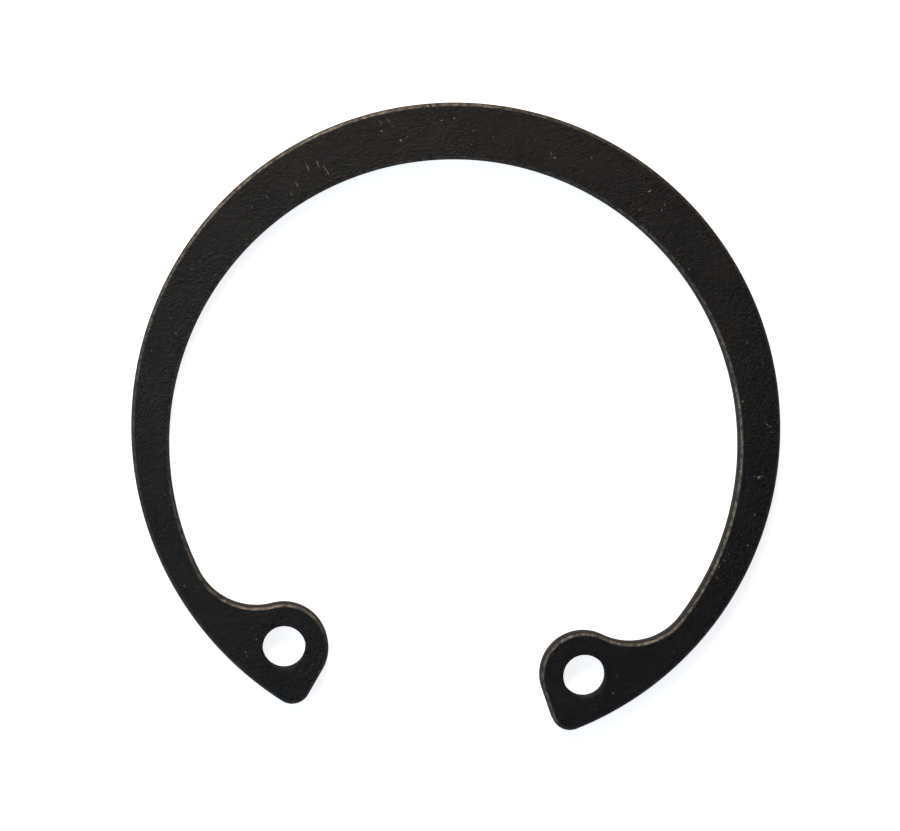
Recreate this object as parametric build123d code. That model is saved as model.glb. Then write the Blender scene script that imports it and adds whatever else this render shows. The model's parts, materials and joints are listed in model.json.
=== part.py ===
from build123d import *
from math import atan2, cos, degrees, radians, sin, sqrt
import os

# Internal retaining ring for a 35 mm bore, in its free state, in millimetres.
# The ring lies in the XY plane with its lower face at Z = 0. The origin is on the ring's axis,
# the back of the beam is at +Y, and the gap between the two lugs opens towards -Y.

# Ring
free_diameter = 37.8  # outer edge before the ring is squeezed into its groove
thickness = 1.5
back_width = 3.3  # beam at the back, its widest place
taper_offset = 1.01  # inner arc's centre lies this far towards the gap, so the beam narrows to the lugs

# Lugs
plier_hole_diameter = 2.5
hole_rim = 1.33  # metal left round a plier hole on the lug's round head
hole_setback = 2.64  # from the ring's outer edge in to a plier hole's centre
lug_gap = 12.46  # between the two round heads
end_lean = 24.5  # degrees that each lug's straight end edge leans away from the ring's centre line
root_radius = 3.68  # hollow between a lug's head and the beam
toe_radius = 1.08  # rounded corner between the end edge and the outer edge

# Blanked edges
die_roll = 0.22  # rounding that the blanking die leaves round the upper face
burr_break = 0.08  # bevel that tumbling leaves round the lower face, where the burr was
hole_break = 0.05  # bevel at both mouths of a plier hole

outer_radius = free_diameter / 2
inner_radius = outer_radius - back_width + taper_offset
inner_centre = Vector(0, -taper_offset)

hole_radius = plier_hole_diameter / 2
head_radius = hole_radius + hole_rim
hole_circle_radius = outer_radius - hole_setback
hole_x = lug_gap / 2 + head_radius
hole_centre = Vector(hole_x, -sqrt(hole_circle_radius**2 - hole_x**2))

# Along the right lug's end edge, from its head out to the toe, and square to it, towards the gap.
end_direction = Vector(sin(radians(end_lean)), -cos(radians(end_lean)))
end_normal = Vector(-cos(radians(end_lean)), -sin(radians(end_lean)))


def beam():
    """Crescent between the round outer edge and the offset inner arc."""
    return Circle(outer_radius) - Pos(inner_centre) * Circle(inner_radius)


def lug():
    """Right lug: a round head about its plier hole, and a foot that runs out to the ring's edge."""
    foot = Rot(0, 0, degrees(atan2(end_direction.Y, end_direction.X))) * Rectangle(
        outer_radius, head_radius, align=(Align.MIN, Align.MAX)
    )
    foot = (Pos(hole_centre) * foot) & Circle(outer_radius)
    return Pos(hole_centre) * Circle(head_radius) + foot


def gap():
    """Opening between the two end edges, from the heads out past the ring's edge."""
    inner_end = hole_centre + end_normal * head_radius
    outer_end = inner_end + end_direction * outer_radius
    corners = [inner_end, outer_end]
    mirrored = [Vector(-point.X, point.Y) for point in reversed(corners)]
    return make_face(Polyline(*corners, *mirrored, close=True))


def on_circle(vertices, centre, radius):
    """The vertices in the lug half of the ring that lie on one circle."""
    return [
        vertex
        for vertex in vertices
        if vertex.Y < hole_centre.Y / 2 and abs((Vector(vertex) - centre).length - radius) < 0.001
    ]


def outline():
    """Flat shape of the ring, as it is blanked from strip."""
    shape = beam() + lug() + mirror(lug(), about=Plane.YZ) - gap()
    shape = fillet(on_circle(shape.vertices(), inner_centre, inner_radius), root_radius)
    shape = fillet(on_circle(shape.vertices(), Vector(0, 0), outer_radius), toe_radius)
    for side in (1, -1):
        shape -= Pos(side * hole_centre.X, hole_centre.Y) * Circle(hole_radius)
    return shape


def retaining_ring():
    """The blank with its punched and tumbled edges."""
    ring = extrude(outline(), thickness)
    upper = ring.faces().sort_by(Axis.Z)[-1]
    ring = fillet(upper.outer_wire().edges(), die_roll)
    lower = ring.faces().sort_by(Axis.Z)[0]
    ring = chamfer(lower.outer_wire().edges(), burr_break)
    mouths = ring.edges().filter_by(
        lambda edge: edge.geom_type == GeomType.CIRCLE and abs(edge.radius - hole_radius) < 0.001
    )
    return chamfer(mouths, hole_break)


os.makedirs("parts", exist_ok=True)
export_step(retaining_ring(), "parts/retaining_ring.step")
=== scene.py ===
"""Blackened internal retaining ring lying on a white table: its mesh, finish, light and camera."""

import json
import logging
import math
from collections.abc import Iterable
from dataclasses import dataclass
from enum import Enum
from typing import Any

import bmesh
import bpy
from mathutils import Matrix, Vector, noise


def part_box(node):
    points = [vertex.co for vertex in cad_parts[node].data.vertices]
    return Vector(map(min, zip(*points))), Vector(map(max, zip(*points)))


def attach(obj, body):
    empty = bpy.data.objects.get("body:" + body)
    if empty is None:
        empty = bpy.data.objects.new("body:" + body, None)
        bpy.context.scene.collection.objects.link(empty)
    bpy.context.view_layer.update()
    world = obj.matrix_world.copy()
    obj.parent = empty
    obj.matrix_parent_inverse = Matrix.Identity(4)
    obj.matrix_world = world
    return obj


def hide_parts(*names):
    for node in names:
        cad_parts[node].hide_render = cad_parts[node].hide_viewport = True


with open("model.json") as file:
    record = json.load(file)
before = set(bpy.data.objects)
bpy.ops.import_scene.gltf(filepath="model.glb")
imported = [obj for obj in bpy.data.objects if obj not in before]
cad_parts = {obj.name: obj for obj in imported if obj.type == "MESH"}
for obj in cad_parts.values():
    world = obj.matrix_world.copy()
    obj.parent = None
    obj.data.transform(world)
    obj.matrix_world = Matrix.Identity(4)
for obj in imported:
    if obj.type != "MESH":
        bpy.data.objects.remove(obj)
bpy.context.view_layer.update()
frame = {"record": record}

MM = 0.001
NODE = "retaining_ring"
BODY = "root"
SLOT = "blackened_spring_steel"
LOG = logging.getLogger("retaining_ring_scene")
# Places of the colour sockets on a Mix node
MIX_FIRST, MIX_SECOND, MIX_RESULT = 6, 7, 2
# Heights closer than this are the same
LEVEL = 0.001 * MM


class Turn(Enum):
    """Which way an arc is swept, seen from above."""

    CLOCKWISE = -1
    ANTICLOCKWISE = 1


class Mark(Enum):
    """Vertex attributes of the ring that its finish reads."""

    # Abrasion on the die roll, with painted highlight where the edge faces the main light.
    RUB_AND_HIGHLIGHT = "rub_and_highlight"
    WALL = "wall"
    TORN = "torn"
    BARE = "bare"


def linear(hex_colour: str) -> tuple[float, float, float, float]:
    """Turn an sRGB hex colour into a linear one.

    Args:
        hex_colour: Six hex digits after a hash, such as "#202020".

    Returns:
        Linear red, green and blue, and an alpha of one.
    """
    digits = hex_colour.lstrip("#")
    channels = [int(digits[i : i + 2], 16) / 255 for i in (0, 2, 4)]
    lit = [c / 12.92 if c <= 0.04045 else ((c + 0.055) / 1.055) ** 2.4 for c in channels]
    return lit[0], lit[1], lit[2], 1.0


def across(size_mm: float) -> float:
    """Give the texture scale at which one cell of the pattern is size_mm across."""
    return 1 / (size_mm * MM)


def add(
    tree: bpy.types.NodeTree,
    kind: str,
    settings: dict[str, Any] | None = None,
    inputs: dict[str | int, Any] | None = None,
) -> bpy.types.Node:
    """Add one node to a tree, with its settings and its links.

    Args:
        tree: The tree that gets the node.
        kind: Blender's name for the node type.
        settings: Attributes to set on the node.
        inputs: For each input, an output socket to link or a value to set.

    Returns:
        The new node.
    """
    node = tree.nodes.new(kind)
    for name, value in (settings or {}).items():
        setattr(node, name, value)
    for name, value in (inputs or {}).items():
        if isinstance(value, bpy.types.NodeSocket):
            tree.links.new(value, node.inputs[name])
        else:
            node.inputs[name].default_value = value
    return node


def clamp(value: float, low: float = 0.0, high: float = 1.0) -> float:
    """Keep a value between two limits."""
    return min(high, max(low, value))


def edges_at(bm: bmesh.types.BMesh, height: float) -> list[bmesh.types.BMEdge]:
    """List the edges that lie flat at a height."""
    return [edge for edge in bm.edges if all(abs(vert.co.z - height) < LEVEL for vert in edge.verts)]


def new_object(name: str, bm: bmesh.types.BMesh, material: bpy.types.Material) -> bpy.types.Object:
    """Turn a finished bmesh into an object of the scene.

    Args:
        name: The object's name.
        bm: The mesh, which is freed.
        material: The finish of the whole mesh.

    Returns:
        The object, at the origin.
    """
    mesh = bpy.data.meshes.new(name)
    bm.to_mesh(mesh)
    bm.free()
    mesh.materials.append(material)
    made = bpy.data.objects.new(name, mesh)
    bpy.context.scene.collection.objects.link(made)
    return made


@dataclass(frozen=True)
class BlackenedSteel:
    """Blanked spring steel, black phosphated and oiled: near-black and satin, with fine crystals that glint.

    The die's roll shows grey steel in a beaded line beside the face: partly the coat abraded through, and
    partly painted highlight, laid on most where the edge faces the main light. The torn lower part of the
    edge is coarse and dull.
    """

    coat: str = "#030405"
    thin_coat: str = "#151412"
    wall_coat: str = "#2a2928"
    steel: str = "#8d877e"
    gloss: float = 0.32
    grain_mm: float = 0.12
    bead_mm: float = 0.35
    mottle_mm: float = 2.4
    tear_mm: float = 0.22
    crystal_mm: float = 0.06
    tint_gain: float = 6.0
    salt: tuple[float, float] = (0.36, 0.64)
    cloud: tuple[float, float] = (0.42, 0.75)
    cloud_share: float = 0.8
    tear: tuple[float, float] = (0.95, 1.1)
    bead: tuple[float, float] = (0.35, 0.65)
    bead_wear: tuple[float, float] = (0.2, 1.35)
    salt_wear: float = 0.6
    satin: tuple[float, float] = (0.28, 0.48)
    wall_matt: float = 0.9

    def coating(
        self, tree: bpy.types.NodeTree, place: bpy.types.NodeSocket, grain: bpy.types.NodeSocket
    ) -> bpy.types.NodeSocket:
        """Colour the unbroken coat of the faces.

        Args:
            tree: The material's nodes.
            place: Object coordinates.
            grain: The crystals' own colours.

        Returns:
            The coat's colour.
        """
        # Uneven oil and coat thickness: faint clouds a few millimetres across.
        mottle = add(
            tree,
            "ShaderNodeTexNoise",
            inputs={"Vector": place, "Scale": across(self.mottle_mm), "Detail": 4.0, "Roughness": 0.6},
        )
        cloud = add(
            tree,
            "ShaderNodeMapRange",
            inputs={
                "Value": mottle.outputs["Fac"],
                "From Min": self.cloud[0],
                "From Max": self.cloud[1],
                "To Max": self.cloud_share,
            },
        )
        coat = add(
            tree,
            "ShaderNodeMix",
            {"data_type": "RGBA"},
            {
                "Factor": cloud.outputs["Result"],
                MIX_FIRST: linear(self.coat),
                MIX_SECOND: linear(self.thin_coat),
            },
        )
        # Each crystal has a faint tint of its own: the grain's middle grey becomes one, with more contrast.
        tint = add(
            tree,
            "ShaderNodeVectorMath",
            {"operation": "MULTIPLY_ADD"},
            {0: grain, 1: (self.tint_gain,) * 3, 2: (1 - self.tint_gain / 2,) * 3},
        )
        return add(
            tree,
            "ShaderNodeMix",
            {"data_type": "RGBA", "blend_type": "MULTIPLY", "clamp_result": True},
            {"Factor": 1.0, MIX_FIRST: coat.outputs[MIX_RESULT], MIX_SECOND: tint.outputs["Vector"]},
        ).outputs[MIX_RESULT]

    def torn(
        self, tree: bpy.types.NodeTree, place: bpy.types.NodeSocket, mark: bpy.types.NodeSocket
    ) -> bpy.types.NodeSocket:
        """Draw the ragged line between the smooth land and the torn part of the edge.

        Args:
            tree: The material's nodes.
            place: Object coordinates.
            mark: Nearness to the torn part, 0 to 1.

        Returns:
            One where the edge is torn, and zero elsewhere.
        """
        tear = add(
            tree,
            "ShaderNodeTexNoise",
            inputs={"Vector": place, "Scale": across(self.tear_mm), "Detail": 3.0, "Roughness": 0.6},
        )
        ragged = add(tree, "ShaderNodeMath", {"operation": "ADD"}, {0: mark, 1: tear.outputs["Fac"]})
        return add(
            tree,
            "ShaderNodeMapRange",
            inputs={"Value": ragged.outputs["Value"], "From Min": self.tear[0], "From Max": self.tear[1]},
        ).outputs["Result"]

    def steel_share(
        self,
        tree: bpy.types.NodeTree,
        place: bpy.types.NodeSocket,
        salt: bpy.types.NodeSocket,
        marks: dict[Mark, bpy.types.NodeSocket],
    ) -> bpy.types.NodeSocket:
        """Show steel in beads along the roll, as abrasion plus painted highlight, and where the coat is
        chipped away.

        Args:
            tree: The material's nodes.
            place: Object coordinates.
            salt: Height of the crystals, 0 to 1.
            marks: The ring's attributes.

        Returns:
            The share of bare steel, 0 to 1.
        """
        bead = add(
            tree,
            "ShaderNodeTexNoise",
            inputs={"Vector": place, "Scale": across(self.bead_mm), "Detail": 2.0, "Roughness": 0.6},
        )
        beaded = add(
            tree,
            "ShaderNodeMapRange",
            inputs={
                "Value": bead.outputs["Fac"],
                "From Min": self.bead[0],
                "From Max": self.bead[1],
                "To Min": self.bead_wear[0],
                "To Max": self.bead_wear[1],
            },
        )
        speckled = add(tree, "ShaderNodeMapRange", inputs={"Value": salt, "To Min": self.salt_wear})
        # The roll's mark carries abrasion and a painted highlight on the edges that face the main light.
        worn_and_lit = add(
            tree,
            "ShaderNodeMath",
            {"operation": "MULTIPLY"},
            {0: marks[Mark.RUB_AND_HIGHLIGHT], 1: beaded.outputs["Result"]},
        )
        worn_and_lit = add(
            tree,
            "ShaderNodeMath",
            {"operation": "MULTIPLY"},
            {0: worn_and_lit.outputs["Value"], 1: speckled.outputs["Result"]},
        )
        return add(
            tree,
            "ShaderNodeMath",
            {"operation": "MAXIMUM"},
            {0: worn_and_lit.outputs["Value"], 1: marks[Mark.BARE]},
        ).outputs["Value"]

    def material(self) -> bpy.types.Material:
        """Make the finish as a node material.

        Returns:
            The new material.
        """
        made = bpy.data.materials.new(SLOT)
        made.use_nodes = True
        tree = made.node_tree
        tree.nodes.clear()
        place = add(tree, "ShaderNodeTexCoord").outputs["Object"]
        marks = {
            mark: add(tree, "ShaderNodeAttribute", {"attribute_name": mark.value}).outputs["Fac"]
            for mark in Mark
        }
        # Crystals of the phosphate coat: a fine salt-and-pepper grain.
        grain = add(
            tree,
            "ShaderNodeTexNoise",
            inputs={"Vector": place, "Scale": across(self.grain_mm), "Detail": 3.0, "Roughness": 0.6},
        )
        salt = add(
            tree,
            "ShaderNodeMapRange",
            inputs={"Value": grain.outputs["Fac"], "From Min": self.salt[0], "From Max": self.salt[1]},
        ).outputs["Result"]
        shown = self.steel_share(tree, place, salt, marks)
        torn = self.torn(tree, place, marks[Mark.TORN])
        coat = add(
            tree,
            "ShaderNodeMix",
            {"data_type": "RGBA"},
            {
                "Factor": torn,
                MIX_FIRST: self.coating(tree, place, grain.outputs["Color"]),
                MIX_SECOND: linear(self.wall_coat),
            },
        )
        colour = add(
            tree,
            "ShaderNodeMix",
            {"data_type": "RGBA"},
            {"Factor": shown, MIX_FIRST: coat.outputs[MIX_RESULT], MIX_SECOND: linear(self.steel)},
        )
        # The faces are satin between the crystals, and the edge's wall is matt.
        satin = add(
            tree,
            "ShaderNodeMapRange",
            inputs={"Value": salt, "To Min": self.satin[0], "To Max": self.satin[1]},
        )
        matt = add(
            tree,
            "ShaderNodeMath",
            {"operation": "MULTIPLY"},
            {0: marks[Mark.WALL], 1: self.wall_matt},
        )
        rough = add(
            tree,
            "ShaderNodeMath",
            {"operation": "MAXIMUM"},
            {0: satin.outputs["Result"], 1: matt.outputs["Value"]},
        )
        bump = add(
            tree,
            "ShaderNodeBump",
            inputs={"Height": grain.outputs["Fac"], "Strength": 1.0, "Distance": self.crystal_mm * MM},
        )
        shader = add(
            tree,
            "ShaderNodeBsdfPrincipled",
            inputs={
                "Base Color": colour.outputs[MIX_RESULT],
                "Roughness": rough.outputs["Value"],
                "Metallic": shown,
                "Specular IOR Level": self.gloss,
                "Normal": bump.outputs["Normal"],
            },
        )
        add(tree, "ShaderNodeOutputMaterial", inputs={"Surface": shader.outputs["BSDF"]})
        return made


@dataclass(frozen=True)
class WhitePaper:
    """Matt white paper of the table: plain white, with a faint shadow where the ring lies."""

    paper: str = "#e1e1e1"
    lift: float = 0.87
    far_lift: float = 1.0
    near: float = 30 * MM
    far: float = 110 * MM
    mirrored_lift: float = 0.42

    def material(self) -> bpy.types.Material:
        """Make the finish as a node material.

        Returns:
            The new material.
        """
        made = bpy.data.materials.new("white_paper")
        made.use_nodes = True
        tree = made.node_tree
        tree.nodes.clear()
        path = add(tree, "ShaderNodeLightPath").outputs
        place = add(tree, "ShaderNodeTexCoord").outputs["Object"]
        distance = add(tree, "ShaderNodeVectorMath", {"operation": "LENGTH"}, {0: place})
        lift = add(
            tree,
            "ShaderNodeMapRange",
            {"interpolation_type": "SMOOTHSTEP"},
            {
                "Value": distance.outputs["Value"],
                "From Min": self.near,
                "From Max": self.far,
                "To Min": self.lift,
                "To Max": self.far_lift,
            },
        )
        mirrored = add(
            tree,
            "ShaderNodeMath",
            {"operation": "MAXIMUM"},
            {0: path["Is Glossy Ray"], 1: path["Is Transmission Ray"]},
        )
        dimmed = add(
            tree,
            "ShaderNodeMath",
            {"operation": "MULTIPLY"},
            {0: mirrored.outputs["Value"], 1: self.mirrored_lift},
        )
        strength = add(
            tree,
            "ShaderNodeMath",
            {"operation": "MULTIPLY_ADD"},
            {0: path["Is Camera Ray"], 1: lift.outputs["Result"], 2: dimmed.outputs["Value"]},
        )
        shader = add(
            tree,
            "ShaderNodeBsdfPrincipled",
            inputs={
                "Base Color": linear(self.paper),
                "Roughness": 0.9,
                "Emission Color": (1.0, 1.0, 1.0, 1.0),
                "Emission Strength": strength.outputs["Value"],
            },
        )
        add(tree, "ShaderNodeOutputMaterial", inputs={"Surface": shader.outputs["BSDF"]})
        return made


@dataclass(frozen=True)
class Outline:
    """Plan outline of the ring, in metres, with the back of the beam at +Y and the gap towards -Y."""

    outer_radius: float
    hole_centre: Vector
    hole_radius: float
    back_width: float = 3.3 * MM
    taper_offset: float = 1.01 * MM
    hole_rim: float = 1.33 * MM
    end_lean: float = math.radians(24.5)
    root_radius: float = 3.68 * MM
    toe_radius: float = 1.08 * MM
    step: float = 0.15 * MM
    weld: float = 0.001 * MM
    fewest_arc_steps: int = 6
    fewest_line_steps: int = 2

    def arc(
        self, bm: bmesh.types.BMesh, vert: bmesh.types.BMVert, centre: Vector, end: Vector, turn: Turn
    ) -> bmesh.types.BMVert:
        """Sweep a vertex along an arc.

        Args:
            bm: The mesh that is drawn in.
            vert: The arc's first vertex.
            centre: The arc's centre.
            end: A point in the direction of the arc's end, seen from its centre.
            turn: Which way to go round.

        Returns:
            The arc's last vertex.
        """
        first, last = vert.co - centre, end - centre
        swing = (math.atan2(last.y, last.x) - math.atan2(first.y, first.x)) * turn.value % math.tau
        steps = max(self.fewest_arc_steps, round(swing * first.length / self.step))
        swept = bmesh.ops.spin(
            bm, geom=[vert], cent=centre, axis=(0, 0, 1), angle=swing * turn.value, steps=steps
        )
        return next(item for item in swept["geom_last"] if isinstance(item, bmesh.types.BMVert))

    def line(self, bm: bmesh.types.BMesh, vert: bmesh.types.BMVert, end: Vector) -> bmesh.types.BMVert:
        """Run a straight edge in even steps from a vertex to a point.

        Args:
            bm: The mesh that is drawn in.
            vert: The edge's first vertex.
            end: Where the edge ends.

        Returns:
            The edge's last vertex.
        """
        steps = max(self.fewest_line_steps, round((end - vert.co).length / self.step))
        stride = (end - vert.co) / steps
        for _ in range(steps):
            vert = bmesh.ops.extrude_vert_indiv(bm, verts=[vert])["verts"][0]
            bmesh.ops.translate(bm, verts=[vert], vec=stride)
        return vert

    def half(self, bm: bmesh.types.BMesh) -> None:
        """Draw the +X half of the outline.

        It runs from the outer edge past the rounded toe, the straight end edge, the lug's head and the
        hollow root to the inner edge.

        Args:
            bm: The mesh that is drawn in.
        """
        inner_radius = self.outer_radius - self.back_width + self.taper_offset
        inner_centre = Vector((0, -self.taper_offset, 0))
        head_radius = self.hole_radius + self.hole_rim
        head = self.hole_centre
        along = Vector((math.sin(self.end_lean), -math.cos(self.end_lean), 0))
        outward = Vector((-math.cos(self.end_lean), -math.sin(self.end_lean), 0))

        end_top = head + outward * head_radius
        near = end_top - outward * self.toe_radius
        reach = near.dot(along)
        limit = self.outer_radius - self.toe_radius
        toe = near + along * (math.sqrt(reach**2 - near.length_squared + limit**2) - reach)

        to_head = head_radius + self.root_radius
        to_inner = inner_radius - self.root_radius
        base = head - inner_centre
        share = (to_inner**2 - to_head**2 + base.length_squared) / (2 * base.length)
        aside = math.sqrt(to_inner**2 - share**2)
        forward = base.normalized()
        root = inner_centre + forward * share + Vector((-forward.y, forward.x, 0)) * aside

        vert = bm.verts.new((0, self.outer_radius, 0))
        vert = self.arc(bm, vert, Vector(), toe, Turn.CLOCKWISE)
        vert = self.arc(bm, vert, toe, toe + outward, Turn.CLOCKWISE)
        vert = self.line(bm, vert, end_top)
        vert = self.arc(bm, vert, head, root, Turn.CLOCKWISE)
        vert = self.arc(bm, vert, root, root + (root - inner_centre), Turn.ANTICLOCKWISE)
        self.arc(bm, vert, inner_centre, Vector((0, self.outer_radius, 0)), Turn.ANTICLOCKWISE)

    def face(self, bm: bmesh.types.BMesh) -> bmesh.types.BMFace:
        """Draw both halves and fill them with one face.

        Args:
            bm: The mesh that is drawn in.

        Returns:
            The face.
        """
        self.half(bm)
        bmesh.ops.mirror(bm, geom=bm.verts[:] + bm.edges[:], axis="X", merge_dist=self.weld)
        bmesh.ops.remove_doubles(bm, verts=bm.verts[:], dist=self.weld)
        return bmesh.ops.contextual_create(bm, geom=bm.edges[:])["faces"][0]


@dataclass(frozen=True)
class Chip:
    """A place on the upper face where the coat is chipped or scratched.

    Its centre and sizes are in millimetres, and its turn is in degrees.
    """

    x: float
    y: float
    length: float = 0.12
    width: float = 0.1
    turn: float = 0.0
    bare: float = 1.0
    depth: float = 0.012


@dataclass(frozen=True)
class EdgeWearAndHighlight:
    """How far the edges are abraded, and how much painted highlight the roll gets towards the main light.

    Heights are shares of the die roll's height, unless they are in metres.
    """

    face: float = 0.999
    wall_top: float = 0.75
    wall_fade: float = 0.25
    ridge_foot: float = 0.42
    ridge_rise: float = 0.35
    ridge_brow: float = 0.02
    least: float = 0.04
    more: float = 0.68
    burr: float = 0.2
    torn_top: float = 1.05 * MM
    torn_fade: float = 0.4 * MM
    # Painted highlight: the roll's steel grows where the edge faces turn, the main light's side, and stays
    # low along the outer edge.
    outer_rim: float = 1.2
    outer_least: float = 0.1
    outer_highlight: float = 0.9
    inner_least: float = 0.25
    inner_mean: float = 0.7
    inner_highlight_swing: float = 0.75
    turn: float = math.radians(126.0)


@dataclass
class Ring:
    """The ring: a beam between two lugs, its upper edge rolled by the die and its lower edge broken."""

    outline: Outline
    thickness: float
    chips: tuple[Chip, ...] = ()
    die_roll: float = 0.22 * MM
    burr_break: float = 0.08 * MM
    hole_break: float = 0.05 * MM
    support: float = 0.02 * MM
    levels: tuple[float, ...] = (0.3 * MM, 0.55 * MM, 0.75 * MM, 0.9 * MM, 1.15 * MM)
    roll_segments: int = 8
    burr_segments: int = 2
    hole_steps: int = 72
    cap_corners: int = 100
    weld: float = 0.0005 * MM
    chip_corners: int = 9
    chip_ragged: float = 0.35
    chip_variety: float = 3.0
    chip_notches: float = 4000.0
    chip_slope: float = 0.2
    edge_wear_and_highlight: EdgeWearAndHighlight = EdgeWearAndHighlight()
    stretch: float = 0.0033
    stretch_turn: float = math.radians(135.4)

    def body(self, bm: bmesh.types.BMesh) -> None:
        """Stand the outline up as a wall between two caps, and round the rims.

        Args:
            bm: The ring's mesh.
        """
        floor = self.outline.face(bm)
        cap = floor
        for low, high in zip((0.0, *self.levels), (*self.levels, self.thickness)):
            grown = bmesh.ops.extrude_face_region(bm, geom=[cap])["geom"]
            if cap is not floor:
                bmesh.ops.delete(bm, geom=[cap], context="FACES_ONLY")
            cap = next(item for item in grown if isinstance(item, bmesh.types.BMFace))
            bmesh.ops.translate(bm, verts=cap.verts[:], vec=(0, 0, high - low))
        rims = (
            (self.thickness, self.die_roll, self.roll_segments),
            (0.0, self.burr_break, self.burr_segments),
        )
        for z, width, segments in rims:
            bmesh.ops.bevel(
                bm,
                geom=edges_at(bm, z),
                offset=width,
                offset_type="OFFSET",
                segments=segments,
                profile=0.5,
                affect="EDGES",
                clamp_overlap=False,
                material=-1,
            )

    def caps(self, bm: bmesh.types.BMesh) -> list[bmesh.types.BMFace]:
        """List the upper and lower faces, which have far more corners than any other."""
        return [face for face in bm.faces if len(face.verts) > self.cap_corners]

    def plier_hole(self, bm: bmesh.types.BMesh, centre: Vector) -> None:
        """Turn a plier hole's wall, with a small bevel at both mouths.

        Args:
            bm: The ring's mesh.
            centre: The hole's centre, on the lower face.
        """
        radius, top, lip = self.outline.hole_radius, self.thickness, self.hole_break
        flat = lip + self.support
        offsets = ((flat, 0), (lip, 0), (0, lip), (0, top / 2), (0, top - lip), (lip, top), (flat, top))
        first = bm.verts.new(centre + Vector((radius + offsets[0][0], 0, 0)))
        profile = [first]
        for (last_x, last_z), (x, z) in zip(offsets, offsets[1:]):
            vert = bmesh.ops.extrude_vert_indiv(bm, verts=[profile[-1]])["verts"][0]
            bmesh.ops.translate(bm, verts=[vert], vec=(x - last_x, 0, z - last_z))
            profile.append(vert)
        edges = {edge for vert in profile for edge in vert.link_edges}
        bmesh.ops.spin(
            bm,
            geom=profile + list(edges),
            cent=centre,
            axis=(0, 0, 1),
            angle=math.tau,
            steps=self.hole_steps,
            use_merge=True,
        )

    def chip(self, bm: bmesh.types.BMesh, chip: Chip) -> None:
        """Sink one chip into the level of the upper face, with its floor bare.

        Args:
            bm: The ring's mesh.
            chip: The chip's place and sizes.
        """
        grown = bmesh.ops.create_circle(bm, cap_ends=True, segments=self.chip_corners, radius=0.5 * MM)
        verts = grown["verts"]
        for vert in verts:
            spot = Vector((chip.x, chip.y, 0)) * self.chip_variety + vert.co * self.chip_notches
            vert.co *= 1 + self.chip_ragged * noise.noise(spot)
        bmesh.ops.scale(bm, verts=verts, vec=(chip.length, chip.width, 1))
        bmesh.ops.rotate(bm, verts=verts, matrix=Matrix.Rotation(math.radians(chip.turn), 3, "Z"))
        bmesh.ops.translate(bm, verts=verts, vec=(chip.x * MM, chip.y * MM, self.thickness))
        floor = verts[0].link_faces[0]
        slope = self.chip_slope * chip.width * MM
        bmesh.ops.inset_individual(bm, faces=[floor], thickness=slope, depth=-chip.depth * MM)
        bare = bm.verts.layers.float[Mark.BARE.value]
        for vert in floor.verts:
            vert[bare] = chip.bare
        for edge in {edge for vert in verts for edge in vert.link_edges if edge.is_boundary}:
            edge.smooth = False

    def fill(self, bm: bmesh.types.BMesh) -> None:
        """Close the upper and lower faces round the plier holes and the chips.

        Args:
            bm: The ring's mesh.
        """
        for z, facing in ((self.thickness, 1), (0.0, -1)):
            rims = [edge for edge in edges_at(bm, z) if edge.is_boundary]
            bmesh.ops.triangle_fill(
                bm, edges=rims, use_beauty=True, use_dissolve=False, normal=(0, 0, facing)
            )

    def mark(self, bm: bmesh.types.BMesh) -> None:
        """Write where the edge is abraded and painted with highlight, where it is a matt wall, and where it
        is torn.

        Args:
            bm: The ring's mesh.
        """
        rub_and_lit = self.edge_wear_and_highlight
        rub_and_highlight = bm.verts.layers.float[Mark.RUB_AND_HIGHLIGHT.value]
        wall = bm.verts.layers.float[Mark.WALL.value]
        torn = bm.verts.layers.float[Mark.TORN.value]
        start = self.thickness - self.die_roll
        for vert in bm.verts:
            up = (vert.co.z - start) / self.die_roll
            if self.hole_distance(vert.co) < self.outline.hole_radius + 2 * self.hole_break:
                vert[wall] = 1.0 if up < rub_and_lit.face else 0.0
                continue
            vert[wall] = clamp((rub_and_lit.wall_top - up) / rub_and_lit.wall_fade)
            if 0 < up < rub_and_lit.face:
                brow = clamp((1 - up) / rub_and_lit.ridge_brow)
                ridge = brow * clamp((up - rub_and_lit.ridge_foot) / rub_and_lit.ridge_rise)
                # Abrasion along the roll's ridge, raised by painted highlight where the edge faces the main
                # light.
                vert[rub_and_highlight] = rub_and_lit.least + rub_and_lit.more * ridge * self.wear_and_highlight(vert)
            elif vert.co.z < self.burr_break + LEVEL:
                vert[rub_and_highlight] = rub_and_lit.burr
            if vert.co.z < start:
                vert[torn] = clamp((rub_and_lit.torn_top - vert.co.z) / rub_and_lit.torn_fade)

    def wear_and_highlight(self, vert: bmesh.types.BMVert) -> float:
        """Tell how much bare steel the roll gets at a vertex, from abrasion and painted highlight.

        Args:
            vert: A vertex of the roll.

        Returns:
            Abrasion and painted highlight from 0 to 1: most where the edge faces back and left, towards the
            main light, and less along the outer edge.
        """
        rub_and_lit = self.edge_wear_and_highlight
        # How far the edge faces the main light, for the painted highlight.
        facing = math.cos(math.atan2(vert.normal.y, vert.normal.x) - rub_and_lit.turn)
        if vert.co.xy.length > self.outline.outer_radius - rub_and_lit.outer_rim * self.die_roll:
            return rub_and_lit.outer_least + rub_and_lit.outer_highlight * max(0.0, facing) ** 2
        return clamp(rub_and_lit.inner_mean + rub_and_lit.inner_highlight_swing * facing, low=rub_and_lit.inner_least)

    def hole_distance(self, place: Vector) -> float:
        """Measure in plan from a point to the nearer plier hole's centre."""
        hole = self.outline.hole_centre
        return (Vector((abs(place.x), place.y)) - hole.xy).length

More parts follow.
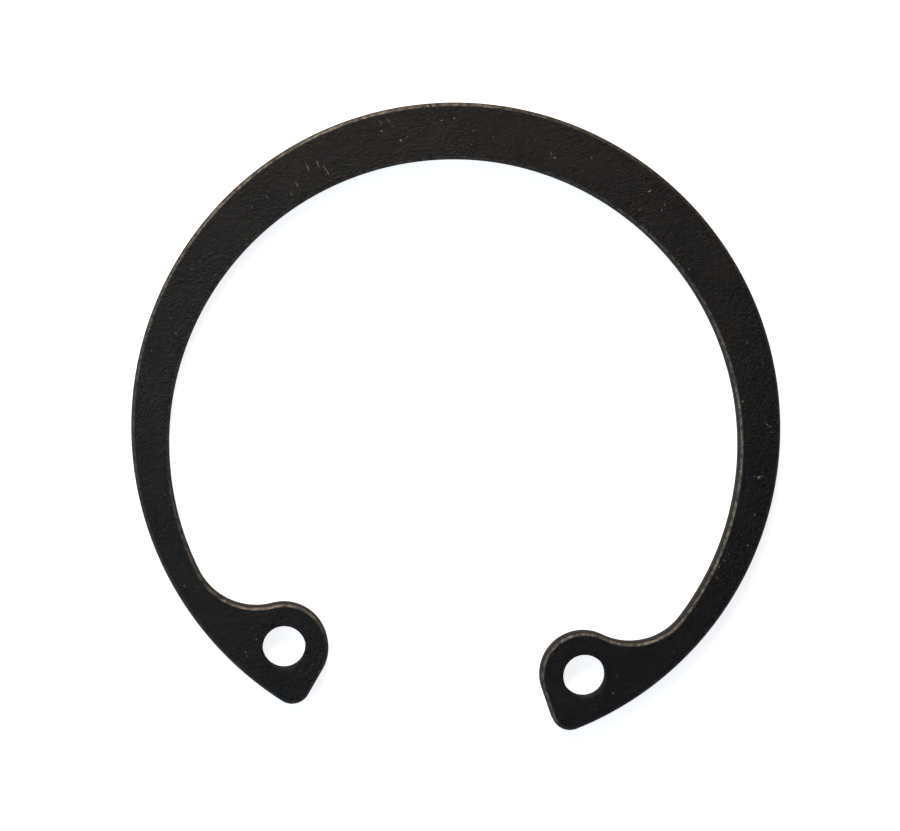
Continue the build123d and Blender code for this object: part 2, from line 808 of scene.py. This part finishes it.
    def build(self, finish: bpy.types.Material) -> bpy.types.Object:
        """Build the whole ring.

        Args:
            finish: The ring's material.

        Returns:
            The ring's object, in the row frame.
        """
        bm = bmesh.new()
        for mark in Mark:
            bm.verts.layers.float.new(mark.value)
        self.body(bm)
        bmesh.ops.inset_region(bm, faces=self.caps(bm), thickness=self.support, use_even_offset=True)
        bmesh.ops.delete(bm, geom=self.caps(bm), context="FACES_ONLY")
        for side in (-1, 1):
            centre = Vector((self.outline.hole_centre.x * side, self.outline.hole_centre.y, 0))
            self.plier_hole(bm, centre)
        for chip in self.chips:
            self.chip(bm, chip)
        self.fill(bm)
        bmesh.ops.remove_doubles(bm, verts=bm.verts[:], dist=self.weld)
        bmesh.ops.recalc_face_normals(bm, faces=bm.faces[:])
        # On a shape this small they can all come out pointing inwards.
        if bm.calc_volume(signed=True) < 0:
            bmesh.ops.reverse_faces(bm, faces=bm.faces[:])
        bm.normal_update()
        self.mark(bm)
        # The ring is a third of a percent longer one way, and as much shorter across it.
        bmesh.ops.scale(
            bm,
            verts=bm.verts[:],
            vec=(1 + self.stretch, 1 - self.stretch, 1),
            space=Matrix.Rotation(-self.stretch_turn, 4, "Z"),
        )
        for face in bm.faces:
            face.smooth = True
        loose = sum(1 for edge in bm.edges if not edge.is_manifold)
        LOG.info("ring: %d vertices, %d faces, %d open edges", len(bm.verts), len(bm.faces), loose)
        return new_object("ring", bm, finish)


@dataclass(frozen=True)
class Table:
    """The table: a wide disc of paper that sweeps up to an upright wall at its far rim."""

    level: float
    radius: float = 2.5
    rise: float = 1.0
    sides: int = 96
    bend_segments: int = 8

    def build(self, finish: bpy.types.Material) -> bpy.types.Object:
        """Build the table and its curved rim.

        Args:
            finish: The paper's material.

        Returns:
            The table's object.
        """
        bm = bmesh.new()
        bmesh.ops.create_circle(bm, cap_ends=True, segments=self.sides, radius=self.radius)
        bmesh.ops.translate(bm, verts=bm.verts[:], vec=(0, 0, self.level))
        rim = bmesh.ops.extrude_edge_only(bm, edges=bm.edges[:])["geom"]
        raised = [item for item in rim if isinstance(item, bmesh.types.BMVert)]
        bmesh.ops.translate(bm, verts=raised, vec=(0, 0, self.rise))
        bmesh.ops.bevel(
            bm,
            geom=edges_at(bm, self.level),
            offset=self.rise / 2,
            segments=self.bend_segments,
            profile=0.5,
            affect="EDGES",
            material=-1,
        )
        made = new_object("table", bm, finish)
        return made


@dataclass(frozen=True)
class SoftBox:
    """A square soft light that faces the ring."""

    name: str
    azimuth: float
    share: float
    tint: str
    elevation: float = 45
    distance: float = 0.18
    size: float = 0.1

    def build(self) -> bpy.types.Object:
        """Hang the light. Its power gives the table this share of the light that shows white as white.

        Returns:
            The light's object.
        """
        rise, swing = math.radians(self.elevation), math.radians(self.azimuth)
        away = Vector((math.cos(swing) * math.cos(rise), math.sin(swing) * math.cos(rise), math.sin(rise)))
        lamp = bpy.data.lights.new(self.name, "AREA")
        lamp.shape = "SQUARE"
        lamp.size = self.size
        lamp.color = linear(self.tint)[:3]
        lamp.energy = self.share * math.pi**2 * self.distance**2 / math.sin(rise)
        made = bpy.data.objects.new(self.name, lamp)
        made.location = away * self.distance
        made.rotation_euler = away.to_track_quat("Z", "Y").to_euler()
        bpy.context.scene.collection.objects.link(made)
        return made


@dataclass(frozen=True)
class Studio:
    """The light round the table: soft boxes, and a dim even room."""

    boxes: tuple[SoftBox, ...]
    room: float = 0.04
    room_tint: str = "#86b0ff"

    def build(self) -> None:
        """Hang the soft boxes and light the room."""
        for box in self.boxes:
            box.build()
        world = bpy.data.worlds.new("room")
        world.use_nodes = True
        world.node_tree.nodes.clear()
        sky = add(
            world.node_tree,
            "ShaderNodeBackground",
            inputs={"Color": linear(self.room_tint), "Strength": self.room},
        )
        add(world.node_tree, "ShaderNodeOutputWorld", inputs={"Surface": sky.outputs["Background"]})
        bpy.context.scene.world = world
        bpy.context.scene.view_settings.view_transform = "Standard"


@dataclass(frozen=True)
class Viewpoint:
    """The camera: almost straight above the ring, a little to its upper left."""

    aim: Vector
    lean_x: float
    lean_y: float
    roll: float
    distance: float
    lens: float

    def build(self) -> bpy.types.Object:
        """Place the camera and make it the scene's own.

        Returns:
            The camera's object.
        """
        back = Vector((self.lean_x, self.lean_y, math.sqrt(1 - self.lean_x**2 - self.lean_y**2)))
        hint = Vector((-math.sin(math.radians(self.roll)), math.cos(math.radians(self.roll)), 0))
        right = hint.cross(back).normalized()
        up = back.cross(right)
        data = bpy.data.cameras.new("camera")
        data.sensor_width = 36
        data.lens = self.lens
        data.clip_start = 0.01
        made = bpy.data.objects.new("camera", data)
        turned = Matrix((right, up, back)).transposed().to_4x4()
        made.matrix_world = Matrix.Translation(self.aim + back * self.distance) @ turned
        bpy.context.scene.collection.objects.link(made)
        bpy.context.scene.camera = made
        return made


CHIPS = (
    # Specks on the back of the beam
    Chip(-4.86, 16.31, 0.15, 0.14),
    Chip(-4.5, 16.54, 0.14, 0.06, 28, 0.35),
    Chip(-6.0, 16.72, 0.16, 0.1, 52, 0.6),
    Chip(-1.88, 17.88, 0.12, 0.11, 0, 0.5),
    Chip(-2.61, 17.7, 0.18, 0.11, 168, 0.3),
    Chip(-0.75, 16.49, 0.09, 0.08, 0, 0.5),
    Chip(-0.71, 17.3, 0.15, 0.09, 33, 0.35),
    Chip(0.47, 17.07, 0.13, 0.1, 122, 0.3),
    Chip(2.91, 17.2, 0.1, 0.07, 98, 0.35),
    Chip(4.12, 16.22, 0.13, 0.12, 0, 0.9),
    Chip(3.9, 16.45, 0.3, 0.09, 110, 0.25),
    Chip(6.25, 16.43, 0.13, 0.09, 133, 0.45),
    # Scratches on the back of the beam
    Chip(-6.12, 17.22, 0.3, 0.07, 137, 0.4),
    Chip(-5.66, 17.36, 0.42, 0.08, 140, 0.4),
    Chip(-3.31, 18.45, 0.36, 0.09, 142, 0.8),
    # Right side of the beam
    Chip(9.8, 14.86, 0.27, 0.08, 35, 0.9),
    Chip(10.75, 14.19, 0.24, 0.07, 74, 0.4),
    Chip(10.62, 13.84, 0.22, 0.07, 76, 0.3),
    Chip(9.33, 13.76, 0.2, 0.12, 8, 0.2),
    Chip(12.53, 10.58, 0.11, 0.11, 0, 0.5),
    Chip(16.34, 6.68, 0.16, 0.1, 114, 0.55),
    Chip(17.39, 5.56, 0.11, 0.08, 12, 0.45),
    Chip(16.42, 3.25, 0.24, 0.12, 114, 0.3),
    Chip(17.96, 2.04, 0.22, 0.07, 152, 0.8),
    Chip(18.15, 1.96, 0.22, 0.07, 176, 0.8),
    Chip(18.28, 1.6, 0.1, 0.07, 0, 0.4),
    Chip(17.55, -1.06, 0.12, 0.08, 115, 0.6),
    Chip(18.02, -1.01, 0.12, 0.08, 95, 0.5),
    Chip(17.78, -1.05, 0.3, 0.2, 20, 0.0, 0.05),
    Chip(17.78, -3.27, 0.15, 0.11, 122),
    Chip(17.56, -5.11, 0.13, 0.12, 0, 0.8),
    Chip(16.25, -6.12, 0.25, 0.12, 136, 0.4),
    Chip(16.0, -6.5, 0.2, 0.08, 70, 0.6),
    Chip(16.5, -5.74, 0.12, 0.08, 72, 0.35),
    Chip(15.94, -7.15, 0.26, 0.08, 143, 0.6),
    # Lugs
    Chip(10.56, -14.49, 0.12, 0.1, 167, 0.9),
    Chip(10.69, -13.47, 0.16, 0.1, 120, 0.25),
    Chip(9.58, -15.23, 0.13, 0.1, 112, 0.25),
    Chip(13.87, -11.7, 0.12, 0.09, 38, 0.25),
    Chip(-10.47, -13.31, 0.12, 0.1, 92, 0.5),
    Chip(-11.04, -14.13, 0.2, 0.08, 117, 0.45),
    Chip(-10.91, -14.35, 0.14, 0.08, 119, 0.4),
    # Left side of the beam
    Chip(-14.92, -10.62, 0.12, 0.08, 100, 0.35),
    Chip(-14.17, -10.61, 0.12, 0.08, 98, 0.3),
    Chip(-16.52, -5.45, 0.1, 0.09, 0, 0.6),
    Chip(-17.77, -0.15, 0.11, 0.08, 162, 0.4),
    Chip(-18.05, 2.79, 0.09, 0.09, 0, 0.5),
    Chip(-17.14, 4.79, 0.12, 0.09, 146, 0.4),
    Chip(-16.83, 2.73, 0.13, 0.1, 136, 0.25),
    Chip(-16.77, 3.95, 0.22, 0.07, 134, 0.3),
    Chip(-15.73, 8.18, 0.12, 0.08, 2, 0.45),
    Chip(-16.2, 7.72, 0.2, 0.08, 6, 0.25),
    Chip(-13.05, 11.63, 0.11, 0.07, 16, 0.45),
    Chip(-12.24, 12.29, 0.2, 0.08, 144, 0.3),
    # Brownish scuffs on the upper left of the beam
    Chip(-10.1, 14.3, 0.7, 0.1, 118, 0.12),
    Chip(-9.5, 14.5, 0.5, 0.09, 112, 0.14),
    Chip(-9.0, 14.2, 0.8, 0.1, 128, 0.14),
    Chip(-8.6, 13.6, 0.5, 0.08, 122, 0.12),
    Chip(-8.1, 13.7, 0.4, 0.08, 152, 0.12),
    Chip(-10.6, 13.2, 0.45, 0.09, 124, 0.12),
    Chip(-10.9, 12.7, 0.4, 0.08, 118, 0.1),
)


def main() -> None:
    """Build the ring, the table, the light and the camera."""
    logging.basicConfig(level=logging.INFO, format="%(message)s")
    mounts = {mount["name"]: mount for mount in frame["record"]["mounts"]}
    low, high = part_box(NODE)
    hole = mounts["plier_hole_right"]
    outline = Outline(
        outer_radius=mounts["groove_seat"]["dims"]["r_mm"] * MM,
        hole_centre=Vector((*hole["pos_m"][:2], 0)),
        hole_radius=hole["dims"]["r_mm"] * MM,
    )
    ring = Ring(outline, high.z - low.z, CHIPS).build(BlackenedSteel().material())
    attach(ring, BODY)
    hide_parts(NODE)
    table = Table(low.z).build(WhitePaper().material())
    LOG.info("table: %d faces", len(table.data.polygons))
    studio = Studio(
        (
            SoftBox("main_light", azimuth=110, share=0.66, tint="#ffe9d3"),
            SoftBox("left_light", azimuth=200, share=0.21, tint="#cdeeff"),
            SoftBox("cool_fill", azimuth=290, share=0.03, tint="#7fb0ff"),
        )
    )
    studio.build()
    LOG.info("light: %d soft boxes and a dim room", len(studio.boxes))
    camera = Viewpoint(
        aim=Vector((-0.406 * MM, 0.651 * MM, 0)),
        lean_x=-0.0604,
        lean_y=0.0598,
        roll=5.66,
        distance=0.254,
        lens=174.03,
    ).build()
    LOG.info("camera: %.0f mm lens", camera.data.lens)


if __name__ == "__main__":
    main()
